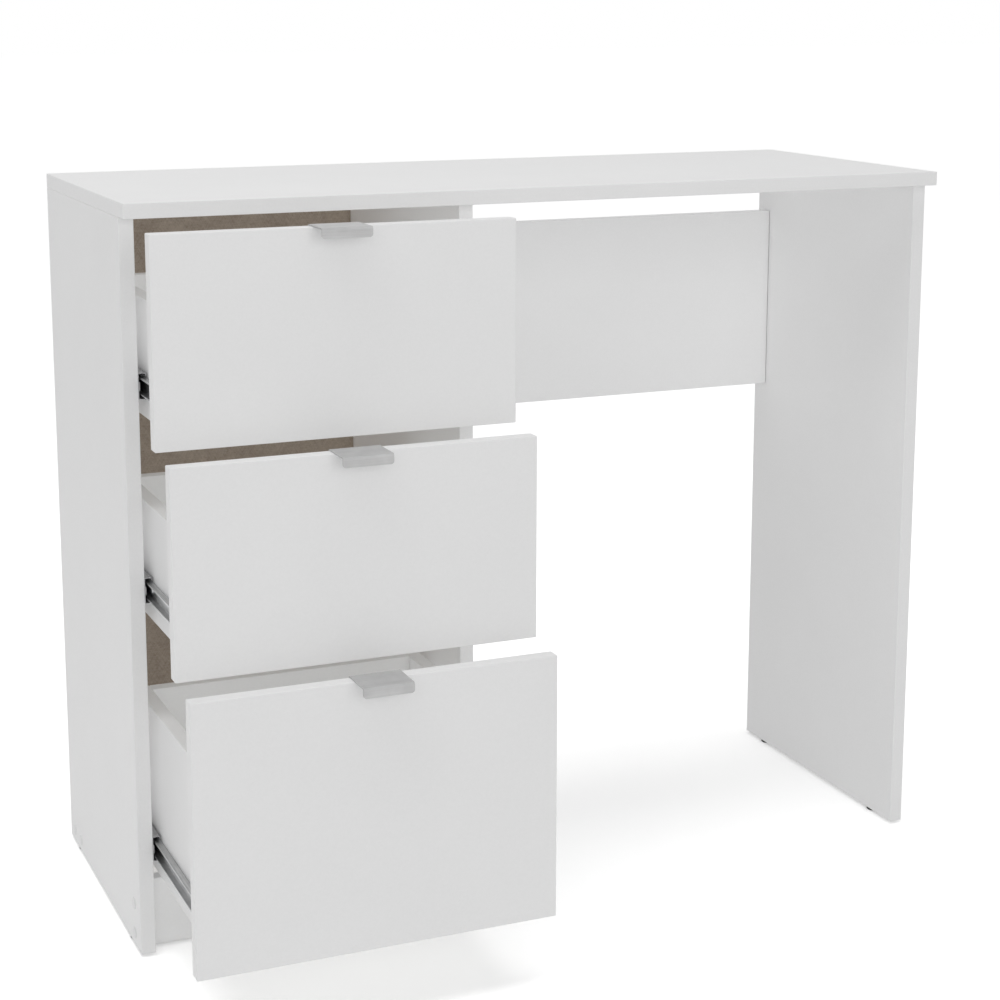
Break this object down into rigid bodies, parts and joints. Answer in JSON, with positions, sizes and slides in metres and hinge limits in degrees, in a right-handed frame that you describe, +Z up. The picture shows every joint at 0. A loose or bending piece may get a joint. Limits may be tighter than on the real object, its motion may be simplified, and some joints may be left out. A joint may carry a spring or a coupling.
{
  "type": "writing desk with drawers",
  "caption": "White board writing desk: pedestal of full-overlay drawers on ball-bearing slides with bent-plate edge pulls, open knee space, modesty panel and slab leg.",
  "frame": {"origin": "on the floor, under the centre of the desk top", "axes": "+X to the desk's right as seen from the front, +Y to the back, +Z up; drawers open towards -Y"},
  "size_m": [0.912, 0.578, 0.768],
  "materials": {
    "white_board": "white melamine on chipboard, satin",
    "raw_hardboard": "raw brown hardboard, matt",
    "white_hardboard": "white lacquered hardboard, satin",
    "black_glide": "black plastic",
    "beech_dowel": "fluted beech",
    "zinc_fitting": "bright zinc plate",
    "white_cap": "white plastic",
    "zinc_rail": "zinc plated rolled steel",
    "satin_handle": "satin grey bent plate",
    "black_cage": "black plastic",
    "steel_ball": "polished bearing steel"
  },
  "bodies": {
    "carcass": {"desk_top": "white_board", "left_side": "white_board", "divider": "white_board", "right_leg": "white_board", "modesty_panel": "white_board", "plinth": "white_board", "rear_rail": "white_board", "pedestal_back": "raw_hardboard", "glides": "black_glide", "top_dowels": "beech_dowel", "carcass_screws": "zinc_fitting", "screw_caps": "white_cap", "top_outer_rail_left": "zinc_rail", "top_outer_rail_right": "zinc_rail", "middle_outer_rail_left": "zinc_rail", "middle_outer_rail_right": "zinc_rail", "bottom_outer_rail_left": "zinc_rail", "bottom_outer_rail_right": "zinc_rail"},
    "top_drawer": {"top_drawer_front": "white_board", "top_drawer_side_left": "white_board", "top_drawer_side_right": "white_board", "top_drawer_back": "white_board", "top_drawer_bottom": "white_hardboard", "top_handle": "satin_handle", "top_cams": "zinc_fitting", "top_cam_bolts": "zinc_fitting", "top_back_screws": "zinc_fitting", "top_inner_rail_left": "zinc_rail", "top_inner_rail_right": "zinc_rail"},
    "top_cages": {"top_ball_cage_left": "black_cage", "top_ball_cage_right": "black_cage", "top_slide_balls": "steel_ball"},
    "middle_drawer": {"middle_drawer_front": "white_board", "middle_drawer_side_left": "white_board", "middle_drawer_side_right": "white_board", "middle_drawer_back": "white_board", "middle_drawer_bottom": "white_hardboard", "middle_handle": "satin_handle", "middle_cams": "zinc_fitting", "middle_cam_bolts": "zinc_fitting", "middle_back_screws": "zinc_fitting", "middle_inner_rail_left": "zinc_rail", "middle_inner_rail_right": "zinc_rail"},
    "middle_cages": {"middle_ball_cage_left": "black_cage", "middle_ball_cage_right": "black_cage", "middle_slide_balls": "steel_ball"},
    "bottom_drawer": {"bottom_drawer_front": "white_board", "bottom_drawer_side_left": "white_board", "bottom_drawer_side_right": "white_board", "bottom_drawer_back": "white_board", "bottom_drawer_bottom": "white_hardboard", "bottom_handle": "satin_handle", "bottom_cams": "zinc_fitting", "bottom_cam_bolts": "zinc_fitting", "bottom_back_screws": "zinc_fitting", "bottom_inner_rail_left": "zinc_rail", "bottom_inner_rail_right": "zinc_rail"},
    "bottom_cages": {"bottom_ball_cage_left": "black_cage", "bottom_ball_cage_right": "black_cage", "bottom_slide_balls": "steel_ball"}
  },
  "joints": [
    {"name": "top_drawer_slide", "type": "slide", "parent": "carcass", "child": "top_drawer", "axis": [0, -1, 0], "range_m": [-0.0968, 0.1232]},
    {"name": "top_cages_slide", "type": "slide", "parent": "carcass", "child": "top_cages", "axis": [0, -1, 0], "range_m": [-0.0484, 0.0616]},
    {"name": "middle_drawer_slide", "type": "slide", "parent": "carcass", "child": "middle_drawer", "axis": [0, -1, 0], "range_m": [-0.14806, 0.07194]},
    {"name": "middle_cages_slide", "type": "slide", "parent": "carcass", "child": "middle_cages", "axis": [0, -1, 0], "range_m": [-0.07403, 0.03597]},
    {"name": "bottom_drawer_slide", "type": "slide", "parent": "carcass", "child": "bottom_drawer", "axis": [0, -1, 0], "range_m": [-0.198, 0.022]},
    {"name": "bottom_cages_slide", "type": "slide", "parent": "carcass", "child": "bottom_cages", "axis": [0, -1, 0], "range_m": [-0.099, 0.011]}
  ],
  "couplings": [
    {"joint": "top_cages_slide", "follows": "top_drawer_slide", "ratio": 0.5},
    {"joint": "middle_cages_slide", "follows": "middle_drawer_slide", "ratio": 0.5},
    {"joint": "bottom_cages_slide", "follows": "bottom_drawer_slide", "ratio": 0.5}
  ]
}
